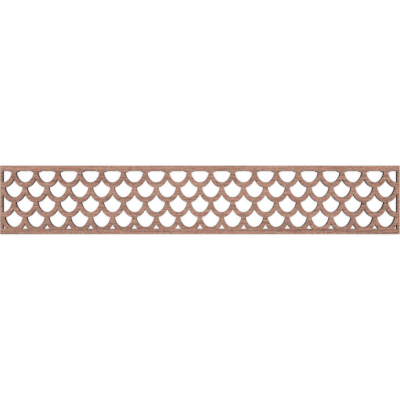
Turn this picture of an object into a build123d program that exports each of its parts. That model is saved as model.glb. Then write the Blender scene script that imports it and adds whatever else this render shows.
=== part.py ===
"""Fretwork moulding: a flat strip of wood pierced with a fish-scale lattice.

Everything is in millimetres. The strip lies on its back: X runs along it, Y runs across it, from the
tips of the scales towards their roots, and Z is up through its thickness. The origin is the centre of
the back face.
"""

from build123d import *
import math
import os

# The strip
panel_length = 1165.0
panel_height = 200.0
thickness = 9.5
rail_width = 15.6

# The lattice
pitch = 63.85  # from one scale to the next in its row
row_rise = 43.5  # from one row of scales to the next
lowest_tip_height = 20.9  # lowest openings above the strip's lower edge
narrowest_stile = 5.0  # where less would be left at the strip's ends, a row is one scale shorter
smallest_opening = 20.0  # square millimetres: anything less at the border stays solid

# A scale's own lower edge, round its opening
neck_width = 12.25  # wood between two openings side by side, where their sides end upright
inner_tip_radius = 20.5
inner_flank_radius = 37.4

# The lower edge of the band round it, which tapers from the tip towards the cusps
band_depth = 15.3  # wood below the tip of an opening
band_overlap = 6.95  # of the bands of two neighbours, where their sides would end upright
outer_tip_radius = 30.0
outer_flank_radius = 45.0

# What follows from them
opening_width = pitch - neck_width
band_width = pitch + band_overlap
scales_along = math.floor((panel_length - 2 * narrowest_stile) / pitch)
window_length = scales_along * pitch  # the rest is the two stiles
window_height = panel_height - 2 * rail_width
window_bottom = rail_width - panel_height / 2
window_top = window_bottom + window_height
lowest_tip = lowest_tip_height - panel_height / 2


def scale_shape(tip_radius, flank_radius, width, drop):
    """A scale as tall as two rows, with its tip at a drop below the origin.

    Its lower edge is a curve of three centres. The tip arc is centred on the scale's axis, and each flank
    arc on the far side of it, so that the flank ends upright at half of the width."""
    half_width = width / 2
    tip_centre = tip_radius - drop
    flank_offset = flank_radius - half_width
    between_centres = flank_radius - tip_radius
    flank_centre = tip_centre + math.sqrt(between_centres**2 - flank_offset**2)
    tip_half_angle = math.degrees(math.asin(flank_offset / between_centres))
    left_join = -90 - tip_half_angle
    right_join = -90 + tip_half_angle
    top = 2 * row_rise
    with BuildSketch() as shape:
        with BuildLine():
            CenterArc((0, tip_centre), tip_radius, left_join, 2 * tip_half_angle)
            CenterArc((-flank_offset, flank_centre), flank_radius, right_join, -right_join)
            CenterArc((flank_offset, flank_centre), flank_radius, -180, left_join + 180)
            Polyline(
                (half_width, flank_centre),
                (half_width, top),
                (-half_width, top),
                (-half_width, flank_centre),
            )
        make_face()
    return shape.sketch


def scale_tips():
    """The inner tips of all the scales that can reach the window, row by row, from the bottom up."""
    first_row = math.floor((window_bottom - lowest_tip) / row_rise) - 1
    last_row = math.ceil((window_top - lowest_tip) / row_rise)
    last_column = math.ceil(scales_along / 2) + 1
    tips = []
    for row in range(first_row, last_row):
        # The lowest row straddles the strip's middle, and every second row is moved by half a pitch.
        shift = pitch / 2 if row % 2 == 0 else 0
        for column in range(-last_column, last_column + 1):
            tips.append((column * pitch + shift, lowest_tip + row * row_rise))
    return tips


# One opening is what the bands of the two scales above leave of a scale
scale = scale_shape(inner_tip_radius, inner_flank_radius, opening_width, 0)
scale_with_band = scale_shape(outer_tip_radius, outer_flank_radius, band_width, band_depth)
with BuildSketch() as opening:
    add(scale)
    with Locations((-pitch / 2, row_rise), (pitch / 2, row_rise)):
        add(scale_with_band, mode=Mode.SUBTRACT)

# The lattice fills the window between rails and stiles, which cut through it wherever they meet it. One
# row ends in whole scales, and the next in half scales
with BuildSketch() as lattice:
    with Locations(*scale_tips()):
        add(opening.sketch)
    with Locations((0, window_bottom + window_height / 2)):
        Rectangle(window_length, window_height, mode=Mode.INTERSECT)
openings = lattice.faces().filter_by(lambda face: face.area > smallest_opening)

with BuildPart() as fretwork_panel:
    with BuildSketch():
        Rectangle(panel_length, panel_height)
        add(openings, mode=Mode.SUBTRACT)
    extrude(amount=thickness)
fretwork_panel.part.label = "fretwork_panel"

os.makedirs("parts", exist_ok=True)
export_step(fretwork_panel.part, "parts/fretwork_panel.step")
print("openings", len(openings))
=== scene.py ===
"""The finish of a fretwork moulding: a flat strip of red-brown wood pierced with fish scales.

The strip lies on its back. X runs along it, Y across it towards the roots of the scales, and Z up through
its thickness. Outlines are worked out in millimetres, and the mesh is stored in metres.
"""

import math
from typing import NamedTuple

import bpy
import numpy as np
from mathutils.geometry import delaunay_2d_cdt
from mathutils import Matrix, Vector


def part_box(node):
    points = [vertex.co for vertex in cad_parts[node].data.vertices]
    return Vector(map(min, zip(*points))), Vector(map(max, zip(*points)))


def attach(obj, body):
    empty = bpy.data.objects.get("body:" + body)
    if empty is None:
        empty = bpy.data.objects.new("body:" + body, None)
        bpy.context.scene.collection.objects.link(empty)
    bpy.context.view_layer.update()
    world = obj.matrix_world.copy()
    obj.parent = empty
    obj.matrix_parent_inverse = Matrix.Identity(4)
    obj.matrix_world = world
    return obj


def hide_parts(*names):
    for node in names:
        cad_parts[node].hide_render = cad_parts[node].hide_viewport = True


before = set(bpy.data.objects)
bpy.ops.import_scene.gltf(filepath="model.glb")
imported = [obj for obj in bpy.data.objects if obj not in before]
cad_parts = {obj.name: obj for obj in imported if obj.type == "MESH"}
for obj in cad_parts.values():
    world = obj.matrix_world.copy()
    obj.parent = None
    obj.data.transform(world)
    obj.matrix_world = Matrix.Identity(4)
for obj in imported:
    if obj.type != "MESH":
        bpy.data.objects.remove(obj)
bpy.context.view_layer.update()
panel_low, panel_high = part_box("fretwork_panel")

MM = 0.001

# The strip, in millimetres
HALF_LENGTH = (panel_high.x - panel_low.x) / 2 / MM
HALF_HEIGHT = (panel_high.y - panel_low.y) / 2 / MM
THICKNESS = (panel_high.z - panel_low.z) / MM
RAIL_WIDTH = 15.6
NARROWEST_STILE = 5.0

# The lattice
PITCH = 63.85  # from one scale to the next in its row
ROW_RISE = 43.5  # from one row of scales to the next
LOWEST_TIP_HEIGHT = 20.9  # lowest openings above the strip's lower edge

# A scale's own lower edge, round its opening, and the lower edge of the band round it
NECK_WIDTH = 12.25
INNER_TIP_RADIUS = 20.5
INNER_FLANK_RADIUS = 37.4
BAND_DEPTH = 15.3
BAND_OVERLAP = 6.95
OUTER_TIP_RADIUS = 30.0
OUTER_FLANK_RADIUS = 45.0

# What follows from them
SCALES_ALONG = math.floor(2 * (HALF_LENGTH - NARROWEST_STILE) / PITCH)
WINDOW_RIGHT = PITCH * SCALES_ALONG / 2
WINDOW_TOP = HALF_HEIGHT - RAIL_WIDTH
LOWEST_TIP = LOWEST_TIP_HEIGHT - HALF_HEIGHT

# How finely the edges are divided, and how they are eased
ARC_STEP = math.radians(3.6)
LINE_STEP = 4.0
OUTER_STEP = 5.0
ARRIS = 0.35
ARRIS_STEPS = 3
HALO = 1.5  # flat border of each edge, over which its toasting fades
WHOLE_HULL = 0  # a flat face is first filled out to the outline round all its points
CLOSEST_POINTS = 0.00001  # nearer than this, two points of a flat face are one

# Places of the materials on the mesh
FRONT, CUT, BACK = range(3)

# The skin laid out on a square sheet, on which its colours can be baked: the front in three lengths at
# full size, the back in three beside them, and all cut walls as one ribbon in rows above the back
SHEET = 616.0
SHEET_GAP = 3.0
LENGTHS = 3
LENGTH = 2 * HALF_LENGTH / LENGTHS
OVERHANG = 8.0  # how far a polygon may reach past its length
LENGTH_ROW = 2 * HALF_HEIGHT + SHEET_GAP
FRONT_SCALE = 1.0
BACK_SCALE = 0.48
BACK_LEFT = LENGTH + 2 * OVERHANG + 2 * SHEET_GAP
WALL_SCALE = 0.53
RIBBON_WIDTH = SHEET - BACK_LEFT - 2 * SHEET_GAP
RIBBON_BOTTOM = LENGTHS * LENGTH_ROW * BACK_SCALE + 2 * SHEET_GAP
RIBBON_GAP = 1.4


class ScaleCurve:
    """The lower edge of a scale or of its band: a tip arc between two flank arcs, on the scale's axis.

    Each flank arc's centre is on the far side of the axis, so that the flank ends upright at half of the
    width. The curve's own tip is drop below the scale's inner tip, from which all heights are counted. A
    growth is added to its radii. Angles are those of the outward normal, from straight down."""

    def __init__(self, tip_radius, flank_radius, width, drop):
        self.tip_radius = tip_radius
        self.flank_radius = flank_radius
        self.tip_centre = tip_radius - drop
        self.flank_offset = flank_radius - width / 2
        between = flank_radius - tip_radius
        self.flank_centre = self.tip_centre + math.sqrt(between**2 - self.flank_offset**2)
        self.half_angle = math.asin(self.flank_offset / between)

    def edge(self, angle, growth, axis=0.0, tip=0.0):
        """Points and outward normals: a centre plus a radius along the normal. The arrays broadcast."""
        normal = np.stack(np.broadcast_arrays(np.sin(angle), -np.cos(angle)), -1)
        on_tip = np.abs(angle) <= self.half_angle
        centre_x = np.where(on_tip, 0.0, -np.sign(angle) * self.flank_offset)
        centre_y = np.where(on_tip, self.tip_centre, self.flank_centre)
        radius = np.where(on_tip, self.tip_radius, self.flank_radius) + growth
        centre = np.stack(np.broadcast_arrays(axis + centre_x, tip + centre_y), -1)
        return centre + radius[..., None] * normal, normal

    def angle_at_height(self, height, growth):
        """Where the right half passes a height: the cosine is the depth below a centre over the radius."""
        on_tip = np.arccos((self.tip_centre - height) / (self.tip_radius + growth))
        on_flank = np.arccos((self.flank_centre - height) / (self.flank_radius + growth))
        return np.where(on_tip <= self.half_angle, on_tip, on_flank)

    def angle_at_side(self, distance, growth):
        """Where the curve is a distance to the right of the axis: the sine is the distance from a centre
        over the radius."""
        on_tip = np.arcsin(np.clip(distance / (self.tip_radius + growth), -1, 1))
        on_flank = np.arcsin((distance + self.flank_offset) / (self.flank_radius + growth))
        return np.where(np.abs(on_tip) <= self.half_angle, on_tip, on_flank)


INNER = ScaleCurve(INNER_TIP_RADIUS, INNER_FLANK_RADIUS, PITCH - NECK_WIDTH, drop=0.0)
OUTER = ScaleCurve(OUTER_TIP_RADIUS, OUTER_FLANK_RADIUS, PITCH + BAND_OVERLAP, drop=BAND_DEPTH)


def shoulder_angles(ease):
    """Where a scale's right flank meets the band of the scale above it on the right.

    Two circles cross at a point whose foot on the line between their centres is given by their radii. It
    returns the point's angle on the scale's edge and on the band's edge, for each ease in the array."""
    flank_centre = np.array([-INNER.flank_offset, INNER.flank_centre])
    band_centre = np.array([PITCH / 2, ROW_RISE + OUTER.tip_centre])
    flank_radius = INNER.flank_radius + ease
    band_radius = OUTER.tip_radius - ease
    between = band_centre - flank_centre
    distance = np.hypot(*between)
    along = between / distance
    across = np.array([along[1], -along[0]])
    foot = (flank_radius**2 - band_radius**2 + distance**2) / (2 * distance)
    side = np.sqrt(flank_radius**2 - foot**2)
    point = flank_centre + foot[:, None] * along + side[:, None] * across
    on_flank = point - flank_centre
    on_band = point - band_centre
    return np.arctan2(on_flank[:, 0], -on_flank[:, 1]), np.arctan2(on_band[:, 0], -on_band[:, 1])


def arc_run(curve, first, last, growth, axis=0.0, tip=0.0):
    """A stretch of a curve from one angle to another, one row for each ring.

    The angles run evenly from first to last. The wood is outside a scale's own edge and inside a band's, so
    that the normal, which points into the air, is the inner curve's turned round. The last point is left
    to the next stretch. Returns points, and the normals at both ends of each step."""
    steps = math.ceil(np.abs(last - first).max() / ARC_STEP)
    share = np.arange(steps + 1) / steps
    angle = first[:, None] + (last - first)[:, None] * share
    points, normals = curve.edge(angle, growth[:, None], axis, tip)
    if curve is INNER:
        normals = -normals
    return points[:, :-1], normals[:, :-1], normals[:, 1:]


def line_run(first, last, normal, step):
    """A straight stretch between two corners, each given for every ring, divided evenly."""
    steps = math.ceil(np.abs(last - first).max() / step)
    share = (np.arange(steps) / steps)[None, :, None]
    points = first[:, None] + (last - first)[:, None] * share
    normals = np.broadcast_to(np.array(normal, float), points.shape)
    return points, normals, normals


def opening_outline(ease, tip, top=False, bottom=False, end=False):
    """The rings of one opening, anticlockwise, with the inner tip of its scale at the origin.

    A whole opening is the scale's own edge between its two shoulders, then the band above on the right up
    to the cusp, then the band above on the left. The rails' inner edges cut it off at the top or at the
    bottom. At the left end of the strip the stile's inner edge halves it along the scale's axis. tip is the
    tip's height on the strip."""
    shoulder, band_shoulder = shoulder_angles(ease)
    low_y = -WINDOW_TOP - tip - ease
    high_y = WINDOW_TOP - tip + ease
    start = OUTER.angle_at_height(low_y - ROW_RISE, -ease) if bottom else -band_shoulder
    if top:
        stop = OUTER.angle_at_height(high_y - ROW_RISE, -ease)
    else:
        stop = OUTER.angle_at_side(PITCH / 2 + (ease if end else 0 * ease), -ease)
    low_right = OUTER.edge(-start, -ease, PITCH / 2, ROW_RISE)[0]
    high_right = OUTER.edge(-stop, -ease, PITCH / 2, ROW_RISE)[0]
    if bottom:
        low_left = np.stack([-ease, low_y], -1) if end else low_right * [-1, 1]
        runs = [line_run(low_left, low_right, (0, 1), LINE_STEP)]
    else:
        first = INNER.angle_at_side(-ease, ease) if end else -shoulder
        low_left = INNER.edge(first, ease)[0]
        runs = [arc_run(INNER, first, shoulder, ease)]
    runs.append(arc_run(OUTER, -start, -stop, -ease, PITCH / 2, ROW_RISE))
    high_left = high_right
    if top:
        high_left = np.stack([-ease, high_y], -1) if end else high_right * [-1, 1]
        runs.append(line_run(high_right, high_left, (0, -1), LINE_STEP))
    if end:
        runs.append(line_run(high_left, low_left, (1, 0), LINE_STEP))
    else:
        runs.append(arc_run(OUTER, stop, start, -ease, -PITCH / 2, ROW_RISE))
    return [np.concatenate(part, 1) for part in zip(*runs)]


def strip_outline(ease):
    """The rings of the strip's own rectangle, clockwise, so that the air is on the left as elsewhere."""
    corners = [(1, -1), (-1, -1), (-1, 1), (1, 1)]
    normals = [(0, -1), (-1, 0), (0, 1), (1, 0)]
    half = np.stack([HALF_LENGTH - ease, HALF_HEIGHT - ease], -1)
    runs = []
    for side, normal in enumerate(normals):
        first = half * corners[side]
        last = half * corners[(side + 1) % len(corners)]
        runs.append(line_run(first, last, normal, OUTER_STEP))
    return [np.concatenate(part, 1) for part in zip(*runs)]


def mirrored(outline):
    """An outline turned over left to right, and run through backwards so that it keeps its sense."""
    points, starts, ends = (part * [-1, 1] for part in outline)
    return [np.roll(points[:, ::-1], 1, 1), ends[:, ::-1], starts[:, ::-1]]


def edge_section():
    """A cut edge from the front face round to the back face.

    The arrises are quarter circles: at an angle from the face, the ease is ARRIS times one minus its sine,
    and the drop from the face ARRIS times one minus its cosine. Returns each ring's ease, height, and the
    tilt of its normal from straight up, with a flat border beyond each arris."""
    turn = np.linspace(0, math.pi / 2, ARRIS_STEPS + 1)
    ease = ARRIS * (1 - np.sin(turn))
    drop = ARRIS * (1 - np.cos(turn))
    ease = np.concatenate([[HALO], ease, ease[::-1], [HALO]])
    height = np.concatenate([[THICKNESS], THICKNESS - drop, drop[::-1], [0]])
    tilt = np.concatenate([[0], turn, math.pi - turn[::-1], [math.pi]])
    return ease, height, tilt


def lattice_outlines(ease):
    """Every opening's outline where it lies on the strip, as (points, start normals, end normals).

    Rows are counted from the row of triangles under the lowest scales. Every second row is moved by half a
    pitch, and the rows that are not end in half a scale at each end of the strip."""
    outlines = []
    rows = range(-1, math.ceil((WINDOW_TOP - LOWEST_TIP) / ROW_RISE))
    for row in rows:
        tip = LOWEST_TIP + row * ROW_RISE
        bottom = row == rows[0]
        top = row == rows[-1]
        moved = row % 2 == 0
        middle = opening_outline(ease, tip, top, bottom)
        count = SCALES_ALONG - (0 if moved else 1)
        for column in range(count):
            place = np.array([(column - (count - 1) / 2) * PITCH, tip])
            outlines.append([middle[0] + place, *middle[1:]])
        if not moved:
            left = opening_outline(ease, tip, top, bottom, end=True)
            right = mirrored(left)
            outlines.append([left[0] + [-WINDOW_RIGHT, tip], *left[1:]])
            outlines.append([right[0] + [WINDOW_RIGHT, tip], *right[1:]])
    return outlines


def inside(points, ring):
    """Which points lie inside a closed ring.

    A line from such a point to the right crosses the ring an odd number of times."""
    a, b = ring, np.roll(ring, -1, 0)
    x, y = points[:, :1], points[:, 1:]
    spans = (a[:, 1] > y) != (b[:, 1] > y)
    rise = np.where(a[:, 1] == b[:, 1], 1, b[:, 1] - a[:, 1])
    crossing = a[:, 0] + (y - a[:, 1]) * (b[:, 0] - a[:, 0]) / rise
    return (spans & (x < crossing)).sum(1) % 2 == 1


def flat_face(rings):
    """Triangles that fill the flat face between the strip's ring, which comes first, and the others.

    They are a Delaunay triangulation that keeps the rings' sides. Triangles whose corners are all on one
    opening's ring and whose middle is inside it are the hole, and are left out."""
    points = np.concatenate(rings)
    counts = [len(ring) for ring in rings]
    starts = np.cumsum([0, *counts[:-1]])
    owner = np.repeat(np.arange(len(rings)), counts)
    sides = np.concatenate(
        [start + np.stack([np.arange(n), (np.arange(n) + 1) % n], -1) for start, n in zip(starts, counts)]
    )
    places = [tuple(point) for point in points.tolist()]
    made = delaunay_2d_cdt(places, sides.tolist(), [], WHOLE_HULL, CLOSEST_POINTS)
    _, _, faces, came_from, _, _ = made
    triangles = np.array([numbers[0] for numbers in came_from])[np.array(faces)]
    middles = points[triangles].mean(1)
    owners = owner[triangles]
    keep = np.ones(len(triangles), bool)
    for ring_number in range(1, len(rings)):
        own = np.flatnonzero((owners == ring_number).all(1))
        keep[own[inside(middles[own], rings[ring_number])]] = False
    triangles = triangles[keep]
    a, b, c = (points[triangles[:, k]] for k in range(3))
    turn = (b[:, 0] - a[:, 0]) * (c[:, 1] - a[:, 1]) - (b[:, 1] - a[:, 1]) * (c[:, 0] - a[:, 0])
    triangles[turn < 0] = triangles[turn < 0][:, ::-1]
    return triangles


def lengths_on_sheet(x, y, scale, left):
    """Where a flat face's corners lie on the sheet, given one row of corners for each polygon.

    The face is cut across into equal lengths, set one above the other. A polygon goes with the length that
    its middle is in. Each corner is as far from that length's middle as on the strip, times the scale."""
    number = np.floor((x.mean(1, keepdims=True) + HALF_LENGTH) / LENGTH).clip(0, LENGTHS - 1)
    middle = (number + 0.5) * LENGTH - HALF_LENGTH
    across = left + (x - middle + LENGTH / 2 + OVERHANG) * scale
    up = SHEET_GAP + (number * LENGTH_ROW + y + HALF_HEIGHT) * scale
    return np.stack([across, up], -1)


def front_on_sheet(corners):
    """Where polygons of the front face lie on the sheet, given their corners' places on the strip."""
    return lengths_on_sheet(corners[..., 0], corners[..., 1], FRONT_SCALE, SHEET_GAP)


def back_on_sheet(corners):
    """Where polygons of the back face lie on the sheet, turned over as when one looks at them."""
    return lengths_on_sheet(-corners[..., 0], corners[..., 1], BACK_SCALE, BACK_LEFT)


def walls_on_sheet(reach, down):
    """Where the walls' quads lie on the sheet, as an array of section steps, columns and four corners.

    The ribbon's length runs on from each outline to the next, and is broken into rows: a quad's row is its
    start over the row's width, rounded down. reach is the length before each column and after the last, and
    down the distance round the section from the front arris to each ring."""
    along = np.stack([reach[:-1], reach[1:], reach[1:], reach[:-1]], -1) * WALL_SCALE
    depth = np.stack([down[:-1], down[:-1], down[1:], down[1:]], -1) * WALL_SCALE
    row = np.floor(along[:, :1] / RIBBON_WIDTH)
    across = BACK_LEFT + along - row * RIBBON_WIDTH
    row_bottom = RIBBON_BOTTOM + row * (down.max() * WALL_SCALE + RIBBON_GAP)
    return np.stack(np.broadcast_arrays(across, row_bottom + depth[:, None]), -1)


def mesh_of(name, vertices, polygons):
    """A mesh from its vertices, and arrays of polygons that have three or four corners each."""
    corners = np.concatenate([part.ravel() for part in polygons])
    sizes = np.concatenate([np.full(len(part), part.shape[1]) for part in polygons])
    mesh = bpy.data.meshes.new(name)
    mesh.vertices.add(len(vertices))
    mesh.vertices.foreach_set("co", vertices.astype(np.float32).ravel())
    mesh.loops.add(len(corners))
    mesh.loops.foreach_set("vertex_index", corners.astype(np.int32))
    mesh.polygons.add(len(sizes))
    mesh.polygons.foreach_set("loop_start", (np.cumsum(sizes) - sizes).astype(np.int32))
    mesh.polygons.foreach_set("use_smooth", np.ones(len(sizes), bool))
    mesh.update(calc_edges=True)
    mesh.validate(verbose=False, clean_customdata=False)
    return mesh


def columns_beside(outlines):
    """For each column of the grid the next one, and for the last of each outline the outline's first."""
    counts = np.array([points.shape[1] for points, *_ in outlines])
    last = np.cumsum(counts)
    beside = np.arange(last[-1]) + 1
    beside[last - 1] = last - counts
    return beside


def leant_normals(starts, ends, tilt):
    """The normals at the four corners of each quad: the outline's, leant from straight up by a ring's tilt.

    The part along the face is the outline's normal times the tilt's sine, and the part up its cosine."""
    sine = np.sin(tilt)[:, None, None]
    lift = np.broadcast_to(np.cos(tilt)[:, None, None], (*starts.shape[:2], 1))
    before, after = (np.concatenate([flat * sine, lift], 2) for flat in (starts, ends))
    return np.stack([before[:-1], after[:-1], after[1:], before[1:]], 2)


def build_panel():
    """The whole strip as one closed mesh.

    All outlines stand side by side in one grid, with a row for each ring of the edge section and a column
    for each point. Quads join each ring to the next, and each column to the one beside it. The first ring
    lies in the front face and the last in the back, and flat triangles fill what is between."""
    ease, height, tilt = edge_section()
    outlines = [strip_outline(ease), *lattice_outlines(ease)]
    points, starts, ends = (np.concatenate(part, 1) for part in zip(*outlines))
    rings, columns = points.shape[:2]
    level = np.broadcast_to(height[:, None, None], (rings, columns, 1))
    vertices = np.concatenate([points, level], 2).reshape(-1, 3)

    beside = columns_beside(outlines)
    index = np.arange(rings * columns).reshape(rings, columns)
    aside = index[:, beside]
    quads = np.stack([index[:-1], aside[:-1], aside[1:], index[1:]], -1)
    front = flat_face([points[0] for points, *_ in outlines])
    back = front[:, ::-1] + index[-1, 0]
    mesh = mesh_of("fretwork", vertices * MM, [quads.reshape(-1, 4), front, back])

    # The quads go ring by ring, and the first and the last of them lie in the flat faces
    slots = [FRONT, *[CUT] * (rings - 3), BACK, FRONT, BACK]
    counts = [*[columns] * (rings - 1), len(front), len(back)]
    mesh.polygons.foreach_set("material_index", np.repeat(slots, counts).astype(np.int32))

    leant = leant_normals(starts, ends, tilt).reshape(-1, 3)
    up = np.broadcast_to([0.0, 0.0, 1.0], (front.size, 3))
    mesh.normals_split_custom_set(np.concatenate([leant, up, -up]).tolist())

    wall = points[rings // 2]
    reach = np.concatenate([[0], np.hypot(*(wall[beside] - wall).T).cumsum()])
    skin = np.hypot(np.diff(ease), np.diff(height)).cumsum()
    on_sheet = walls_on_sheet(reach, np.concatenate([[0], skin - skin[0]]))
    on_sheet[0] = front_on_sheet(vertices[quads[0]])
    on_sheet[-1] = back_on_sheet(vertices[quads[-1]])
    flat = [front_on_sheet(vertices[front]), back_on_sheet(vertices[back])]
    places = np.concatenate([part.reshape(-1, 2) for part in (on_sheet, *flat)]) / SHEET
    bake_map = mesh.uv_layers.new(name="OFBake")
    bake_map.uv.foreach_set("vector", places.astype(np.float32).ravel())

    distance = mesh.attributes.new("from_cut", "FLOAT", "POINT")
    distance.data.foreach_set("value", np.repeat(ease, columns).astype(np.float32))
    panel = bpy.data.objects.new("fretwork", mesh)
    bpy.context.scene.collection.objects.link(panel)
    return panel


def screen_colour(red, green, blue):
    """A colour written as a screen shows it, from 0 to 255, as the linear values that a shader takes.

    The usual curve has a short straight stretch, and above it a power of 2.4."""
    value = np.array([red, green, blue]) / 255
    linear = np.where(value <= 0.04045, value / 12.92, ((value + 0.055) / 1.055) ** 2.4)
    return (*linear.tolist(), 1.0)


def feed(tree, node, values):
    """Sets a node's inputs to values, or links them to outputs."""
    for name, value in dict(values).items():
        if isinstance(value, bpy.types.NodeSocket):
            tree.links.new(value, node.inputs[name])
        else:
            node.inputs[name].default_value = value


def add(tree, kind, values=(), **settings):
    """A new shader node of this kind, with its settings, and its inputs set to values or linked."""
    node = tree.nodes.new("ShaderNode" + kind)
    for name, setting in settings.items():
        setattr(node, name, setting)
    feed(tree, node, values)
    return node


def calculate(tree, operation, *values, clamp=False):
    """The result of one sum on numbers or outputs."""
    return add(tree, "Math", enumerate(values), operation=operation, use_clamp=clamp).outputs[0]


def stretched(tree, value, limits, kind="LINEAR"):
    """A value that runs from 0 at the first limit to 1 at the second."""
    values = {"Value": value, "From Min": limits[0], "From Max": limits[1]}
    return add(tree, "MapRange", values, interpolation_type=kind).outputs[0]


def in_millimetres(tree, position):
    """A position that is given in metres, in millimetres."""
    return add(tree, "VectorMath", {0: position, 3: 1 / MM}, operation="SCALE").outputs[0]


def ramp(tree, factor, stops):
    """A colour ramp from a list of (place, colour)."""
    node = add(tree, "ValToRGB", {"Fac": factor})
    elements = node.color_ramp.elements
    while len(elements) < len(stops):
        elements.new(0.5)
    for element, (place, colour) in zip(elements, stops):
        element.position = place
        element.color = colour
    return node.outputs["Color"]


# Sockets of a Mix node that mixes colours
MIX_FACTOR, MIX_FIRST, MIX_SECOND, MIX_RESULT = 0, 6, 7, 2


def mixed(tree, factor, first, second, blend="MIX"):
    """Two colours mixed, the second over the first."""
    values = {MIX_FACTOR: factor, MIX_FIRST: first, MIX_SECOND: second}
    return add(tree, "Mix", values, data_type="RGBA", blend_type=blend).outputs[MIX_RESULT]


def new_group(name, inputs, outputs):
    """An empty shader node group with named sockets. Each input is (name, kind, default)."""
    tree = bpy.data.node_groups.new(name, "ShaderNodeTree")
    for socket, kind, default in inputs:
        made = tree.interface.new_socket(socket, in_out="INPUT", socket_type="NodeSocket" + kind)
        if default is not None:
            made.default_value = default
    for socket, kind in outputs:
        tree.interface.new_socket(socket, in_out="OUTPUT", socket_type="NodeSocket" + kind)
    return tree, tree.nodes.new("NodeGroupInput"), tree.nodes.new("NodeGroupOutput")


class Marks(NamedTuple):
    """One kind of mark in the wood or on a cut: blotches of noise, drawn out along grain or beam."""

    size: tuple  # of a blotch in X, Y and Z, in millimetres
    start: tuple  # where in the noise it begins, so that no two kinds coincide
    strength: float = 1.0
    detail: float = 2.0
    roughness: float = 0.5


def noise(tree, position, marks):
    """The noise of one kind of mark, about one half on average: its position is divided by the size."""
    scale = tuple(1 / length for length in marks.size)
    values = {0: position, 1: scale, 2: marks.start}
    moved = add(tree, "VectorMath", values, operation="MULTIPLY_ADD").outputs[0]
    values = {"Vector": moved, "Scale": 1.0, "Detail": marks.detail, "Roughness": marks.roughness}
    return add(tree, "TexNoise", values).outputs["Fac"]


def swing(tree, value, strength):
    """A value, which is about one half on average, as a swing about zero."""
    return calculate(tree, "MULTIPLY_ADD", value, strength, -strength / 2)


# How far the grain wanders to the side on its way along the board, in millimetres
BEND = Marks(size=(260, 80, 80), start=(3, 1, 7), strength=9.0, detail=1)
RIPPLE = Marks(size=(34, 14, 14), start=(9, 4, 2), strength=1.6, detail=1)

# What makes the wood darker and paler, from the broadest to the finest, as shares of its tone
BANDS = Marks(size=(420, 9, 60), start=(5, 2, 1), strength=0.35, detail=3)
LINES = Marks(size=(150, 2.4, 25), start=(1, 8, 3), strength=0.38, detail=3, roughness=0.6)
STREAKS = Marks(size=(50, 3.2, 8), start=(2, 6, 4), strength=0.55, roughness=0.6)
MOTTLE = Marks(size=(4.5, 2.2, 2.2), start=(3, 5, 2), strength=1.2, detail=1, roughness=0.6)
FIBRES = Marks(size=(11, 0.5, 0.5), start=(7, 3, 5), strength=1.3, detail=1)
LINE_EDGES = (0.38, 0.60)

# Streaks that are redder or duller
REDNESS = Marks(size=(26, 4, 4), start=(4, 4, 9), strength=0.6, detail=3, roughness=0.7)
REDNESS_EDGES = (0.38, 0.62)

# Open pores, which are closer together in some growth lines than in others
PORES = Marks(size=(9, 0.28, 0.28), start=(6, 1, 2), strength=0.6, detail=0)
PORE_EDGES = (0.60, 0.70)
PORE_CROWDING = 0.12
FIBRE_RELIEF = 0.35  # of a pore's depth

# The board that the strip was cut from
GROWTH_TILT = math.radians(28)  # of the growth layers to the face
PORE_COLOUR = screen_colour(88, 54, 44)
RED_WOOD = screen_colour(184, 125, 107)
DULL_WOOD = screen_colour(168, 136, 117)
WOODS = [
    screen_colour(108, 72, 60),
    screen_colour(150, 106, 89),
    screen_colour(173, 129, 111),
    screen_colour(192, 150, 131),
    screen_colour(212, 173, 152),
]

# Broad bands across the board, mostly the wood's figure, with painted shade in the darkest, at 80 mm, at
# the necks just
# inside the far rail: distance from the middle in millimetres, and tone, which is 0 in the darkest of the
# woods and 1 in the palest
FIGURE_AND_SHADE_BANDS = [
    (-100, 0.55),
    (-90, 0.48),
    (-65, 0.48),
    (-40, 0.60),
    (-10, 0.48),
    (25, 0.60),
    (45, 0.58),
    (60, 0.48),
    (80, 0.40),
    (92, 0.65),
]


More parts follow.
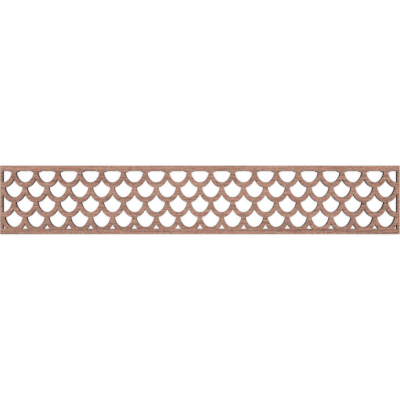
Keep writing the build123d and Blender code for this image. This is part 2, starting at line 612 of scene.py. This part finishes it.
def wood_group():
    """Solid wood with its grain along X: colour, pores and relief from the position in the board.

    The tone is the one given for its place across the board, wood figure with a band of painted shade, plus
    contrast times the sum of the marks' swings, and picks a colour from the darkest to the palest."""
    inputs = [("Position", "Vector", None), ("Contrast", "Float", 1.0)]
    outputs = [("Color", "Color"), ("Pores", "Float"), ("Relief", "Float")]
    tree, given, result = new_group("Board wood", inputs, outputs)
    position = in_millimetres(tree, given.outputs["Position"])

    # The grain wanders, and the growth layers lie tilted in the board
    bend = swing(tree, noise(tree, position, BEND), BEND.strength)
    ripple = swing(tree, noise(tree, position, RIPPLE), RIPPLE.strength)
    offset = add(tree, "CombineXYZ", {"Y": calculate(tree, "ADD", bend, ripple)}).outputs[0]
    grain = add(tree, "VectorMath", {0: position, 1: offset}, operation="ADD").outputs[0]
    values = {"Vector": grain, "Angle": GROWTH_TILT}
    layers = add(tree, "VectorRotate", values, rotation_type="X_AXIS").outputs[0]

    height = add(tree, "SeparateXYZ", {0: position}).outputs["Y"]
    # Tone by height across the board: the wood's figure, with painted shade in the dark band just inside
    # the far rail
    share = calculate(tree, "MULTIPLY_ADD", height, 0.5 / HALF_HEIGHT, 0.5)
    stops = [(0.5 + y / HALF_HEIGHT / 2, (tone, tone, tone, 1)) for y, tone in FIGURE_AND_SHADE_BANDS]
    figure_and_shade = ramp(tree, share, stops)

    lines = noise(tree, layers, LINES)
    fibres = noise(tree, grain, FIBRES)
    total = swing(tree, noise(tree, layers, BANDS), BANDS.strength)
    others = [
        (stretched(tree, lines, LINE_EDGES, "SMOOTHSTEP"), LINES),
        (noise(tree, layers, STREAKS), STREAKS),
        (noise(tree, grain, MOTTLE), MOTTLE),
        (fibres, FIBRES),
    ]
    for value, marks in others:
        total = calculate(tree, "ADD", total, swing(tree, value, marks.strength))
    tone = calculate(tree, "MULTIPLY_ADD", total, given.outputs["Contrast"], figure_and_shade)
    colour = ramp(tree, tone, [(k / (len(WOODS) - 1), wood) for k, wood in enumerate(WOODS)])

    redness = stretched(tree, noise(tree, grain, REDNESS), REDNESS_EDGES)
    hue = mixed(tree, redness, DULL_WOOD, RED_WOOD)
    colour = mixed(tree, REDNESS.strength, colour, hue, "COLOR")

    crowding = swing(tree, lines, PORE_CROWDING)
    level = calculate(tree, "ADD", noise(tree, grain, PORES), crowding)
    pores = stretched(tree, level, PORE_EDGES)
    colour = mixed(tree, calculate(tree, "MULTIPLY", pores, PORES.strength), colour, PORE_COLOUR)
    relief = calculate(tree, "SUBTRACT", calculate(tree, "MULTIPLY", fibres, FIBRE_RELIEF), pores)
    feed(tree, result, {"Color": colour, "Pores": pores, "Relief": relief})
    return tree


# How the cut browns the wood beside it: unevenly along the edge, and less and less away from it
UNEVENNESS = Marks(size=(5, 5, 5), start=(3, 3, 8))
TOASTING_FALL = 1.6


def toasting_group():
    """How far the cut has browned the wood beside it: 1 at the cut and 0 past Reach.

    It is one minus the distance over the uneven reach, to the power of TOASTING_FALL."""
    inputs = [("Position", "Vector", None), ("Distance", "Float", 0.0), ("Reach", "Float", 1.0)]
    tree, given, result = new_group("Toasting", inputs, [("Mask", "Float")])
    position = in_millimetres(tree, given.outputs["Position"])
    uneven = calculate(tree, "ADD", noise(tree, position, UNEVENNESS), 0.5)
    reach = calculate(tree, "MULTIPLY", given.outputs["Reach"], uneven)
    share = calculate(tree, "DIVIDE", given.outputs["Distance"], reach)
    mask = calculate(tree, "SUBTRACT", 1.0, share, clamp=True)
    feed(tree, result, {"Mask": calculate(tree, "POWER", mask, TOASTING_FALL)})
    return tree


# The lines that the cutting beam leaves on a wall
FINE_KERF = Marks(size=(0.45, 0.45, 18), start=(2, 7, 1), strength=0.6, detail=1)
COARSE_KERF = Marks(size=(2.2, 2.2, 30), start=(8, 2, 6), strength=0.4, detail=1)
KERF_EDGES = (0.35, 0.65)


def kerf_group():
    """Upright lines on a cut wall: they change along the wall and hardly in height."""
    inputs = [("Position", "Vector", None)]
    tree, given, result = new_group("Kerf lines", inputs, [("Lines", "Float"), ("Relief", "Float")])
    position = in_millimetres(tree, given.outputs["Position"])
    fine = calculate(tree, "MULTIPLY", noise(tree, position, FINE_KERF), FINE_KERF.strength)
    coarse = calculate(tree, "MULTIPLY", noise(tree, position, COARSE_KERF), COARSE_KERF.strength)
    both = calculate(tree, "ADD", fine, coarse)
    feed(tree, result, {"Lines": stretched(tree, both, KERF_EDGES), "Relief": both})
    return tree


wood = wood_group()
toasting = toasting_group()
kerf = kerf_group()

# A sanded face, and the brown of the wood that a cut has toasted
FACE_GLOSS = 0.35
FACE_BUMP = 0.6
FACE_BUMP_DEPTH = 0.08 * MM
PORE_ROUGHNESS = 0.15
SMOKED = screen_colour(92, 62, 50)

# A cut wall, which is charred along some lines and toasted along others
WALL_ROUGHNESS = 0.9
WALL_GLOSS = 0.05
WALL_BUMP = 0.7
WALL_BUMP_DEPTH = 0.12 * MM
WALL_GRAIN = 0.35  # how much of the wood's own grain shows through
CHAR = screen_colour(24, 13, 9)
TOASTED = screen_colour(58, 36, 27)


def new_material(name, roughness, gloss):
    """A material with only its shader, whose constant numbers are set here."""
    material = bpy.data.materials.new(name)
    material.use_nodes = True
    tree = material.node_tree
    shader = tree.nodes["Principled BSDF"]
    feed(tree, shader, {"Roughness": roughness, "Specular IOR Level": gloss})
    position = add(tree, "TexCoord").outputs["Object"]
    return material, tree, shader, position


def bumped(tree, strength, depth, height):
    """The normal of a surface with a fine relief."""
    return add(tree, "Bump", {"Strength": strength, "Distance": depth, "Height": height}).outputs[0]


def face_material(name, contrast, reach, stain, roughness):
    """A sanded face: bare wood, browned where it meets a cut."""
    material, tree, shader, position = new_material(name, roughness, FACE_GLOSS)
    board = add(tree, "Group", {"Position": position, "Contrast": contrast}, node_tree=wood)
    distance = add(tree, "Attribute", attribute_name="from_cut").outputs["Fac"]
    values = {"Position": position, "Distance": distance, "Reach": reach}
    beside = add(tree, "Group", values, node_tree=toasting)
    amount = calculate(tree, "MULTIPLY", beside.outputs["Mask"], stain)
    rough = calculate(tree, "MULTIPLY_ADD", board.outputs["Pores"], PORE_ROUGHNESS, roughness)
    normal = bumped(tree, FACE_BUMP, FACE_BUMP_DEPTH, board.outputs["Relief"])
    colour = mixed(tree, amount, board.outputs["Color"], SMOKED)
    feed(tree, shader, {"Base Color": colour, "Roughness": rough, "Normal": normal})
    return material


def wall_material(name):
    """A cut wall: the board's own grain under a brown skin, in upright lines."""
    material, tree, shader, position = new_material(name, WALL_ROUGHNESS, WALL_GLOSS)
    board = add(tree, "Group", {"Position": position}, node_tree=wood)
    cut = add(tree, "Group", {"Position": position}, node_tree=kerf)
    skin = mixed(tree, cut.outputs["Lines"], CHAR, TOASTED)
    colour = mixed(tree, WALL_GRAIN, skin, board.outputs["Color"], "MULTIPLY")
    normal = bumped(tree, WALL_BUMP, WALL_BUMP_DEPTH, cut.outputs["Relief"])
    feed(tree, shader, {"Base Color": colour, "Normal": normal})
    return material


# The room: a pale floor, a soft lamp above the strip's far side, and even light from all round
FLOOR_HALF = 6.0
FLOOR_GAP = 0.0002
FLOOR_ALBEDO = 0.8
FLOOR_SHADE = 0.22  # how much of the strip's shadow a camera sees
FLOOR_GLOW = 0.82
WORLD_LIGHT = 0.64
LAMP_POWER = 15.0
LAMP_SIDE = 1.2
LAMP_PLACE = (0.0, 0.5, 2.0)

# The camera, straight above the middle of the strip
CAMERA_LENS = 44.5
CAMERA_SENSOR = 36.0
CAMERA_ABOVE_FACE = 1.4412
CAMERA_ASIDE = (0.0002, -0.00025)


def seen_rays(tree):
    """1 for rays that the camera sees, straight, in a reflection or through glass, and 0 for others."""
    path = add(tree, "LightPath")
    seen = calculate(tree, "MAXIMUM", path.outputs["Is Camera Ray"], path.outputs["Is Glossy Ray"])
    return calculate(tree, "MAXIMUM", seen, path.outputs["Is Transmission Ray"])


def floor_material():
    """A white floor that a camera sees as the photograph's white, less a faint shadow of the strip."""
    material = bpy.data.materials.new("White floor")
    material.use_nodes = True
    tree = material.node_tree
    tree.nodes.clear()
    plain = add(tree, "BsdfDiffuse", {"Color": (FLOOR_ALBEDO, FLOOR_ALBEDO, FLOOR_ALBEDO, 1)})
    faint = add(tree, "BsdfDiffuse", {"Color": (FLOOR_SHADE, FLOOR_SHADE, FLOOR_SHADE, 1)})
    glow = add(tree, "Emission", {"Strength": FLOOR_GLOW})
    lit = add(tree, "AddShader", {0: glow.outputs[0], 1: faint.outputs[0]})
    either = add(tree, "MixShader", {0: seen_rays(tree), 1: plain.outputs[0], 2: lit.outputs[0]})
    add(tree, "OutputMaterial", {"Surface": either.outputs[0]})
    return material


def build_floor():
    """A square floor just under the strip."""
    corners = np.array([(-1, -1), (1, -1), (1, 1), (-1, 1)]) * FLOOR_HALF
    mesh = bpy.data.meshes.new("floor")
    mesh.from_pydata([(x, y, panel_low.z - FLOOR_GAP) for x, y in corners.tolist()], [], [(0, 1, 2, 3)])
    mesh.materials.append(floor_material())
    floor = bpy.data.objects.new("floor", mesh)
    bpy.context.scene.collection.objects.link(floor)
    return floor


def build_light():
    """A square lamp over the strip, and a world that a camera sees as white."""
    lamp = bpy.data.lights.new("Soft lamp", "AREA")
    lamp.energy = LAMP_POWER
    lamp.size = LAMP_SIDE
    holder = bpy.data.objects.new("Soft lamp", lamp)
    holder.location = LAMP_PLACE
    aim = -holder.location
    holder.rotation_euler = aim.to_track_quat("-Z", "Y").to_euler()
    bpy.context.scene.collection.objects.link(holder)
    world = bpy.data.worlds.new("Room")
    world.use_nodes = True
    tree = world.node_tree
    values = {"Value": seen_rays(tree), "To Min": WORLD_LIGHT, "To Max": 1.0}
    strength = add(tree, "MapRange", values).outputs[0]
    feed(tree, tree.nodes["Background"], {"Color": (1, 1, 1, 1), "Strength": strength})
    bpy.context.scene.world = world


def build_camera():
    """The camera looks straight down, with the strip's far side at the top of the picture."""
    camera = bpy.data.cameras.new("camera")
    camera.sensor_width = CAMERA_SENSOR
    camera.lens = CAMERA_LENS
    holder = bpy.data.objects.new("camera", camera)
    holder.location = (*CAMERA_ASIDE, panel_high.z + CAMERA_ABOVE_FACE)
    bpy.context.scene.collection.objects.link(holder)
    bpy.context.scene.camera = holder


panel = build_panel()
for material in (
    face_material("Sanded face", contrast=1.15, reach=1.1, stain=0.8, roughness=0.6),
    wall_material("Beam-cut wall"),
    face_material("Plain back", contrast=0.85, reach=1.25, stain=0.7, roughness=0.68),
):
    panel.data.materials.append(material)
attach(panel, "root")
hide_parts("fretwork_panel")

build_floor()
build_light()
build_camera()
bpy.context.scene.view_settings.view_transform = "Standard"
